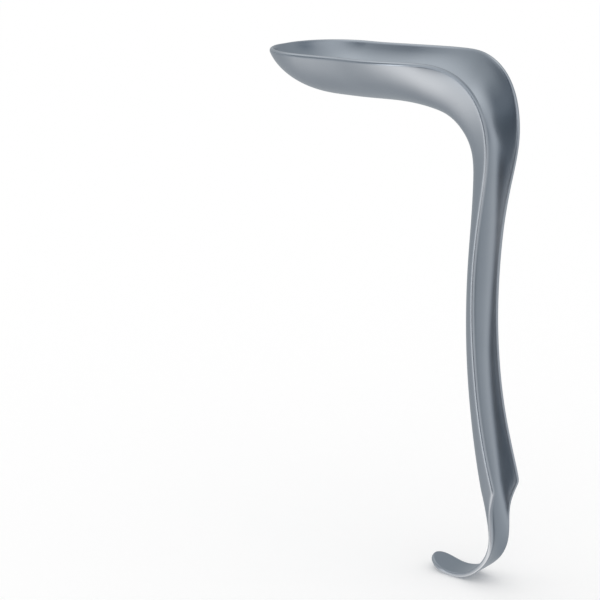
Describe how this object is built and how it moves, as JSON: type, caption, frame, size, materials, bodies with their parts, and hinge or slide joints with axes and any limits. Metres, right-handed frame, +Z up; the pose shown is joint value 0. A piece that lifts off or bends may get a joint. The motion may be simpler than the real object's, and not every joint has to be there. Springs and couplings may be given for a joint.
{
  "type": "sims speculum",
  "caption": "Vaginal speculum with a boat-nosed trough blade, a square heel, a shouldered channel handle and a finger hook, in satin stainless steel.",
  "frame": {"origin": "on the back of the handle at its waist, in the plane of symmetry, where a hand holds the instrument", "axes": "+Z up the handle towards the blade, blade pointing along -X, +Y across the instrument, which is symmetric about Y = 0"},
  "size_m": [0.0937, 0.0434, 0.1773],
  "materials": {
    "blade_steel": "bead-blasted satin",
    "handle_steel": "bead-blasted satin",
    "hook_steel": "bead-blasted satin"
  },
  "bodies": {
    "root": {"blade": "blade_steel", "handle": "handle_steel", "finger_hook": "hook_steel"}
  },
  "joints": []
}
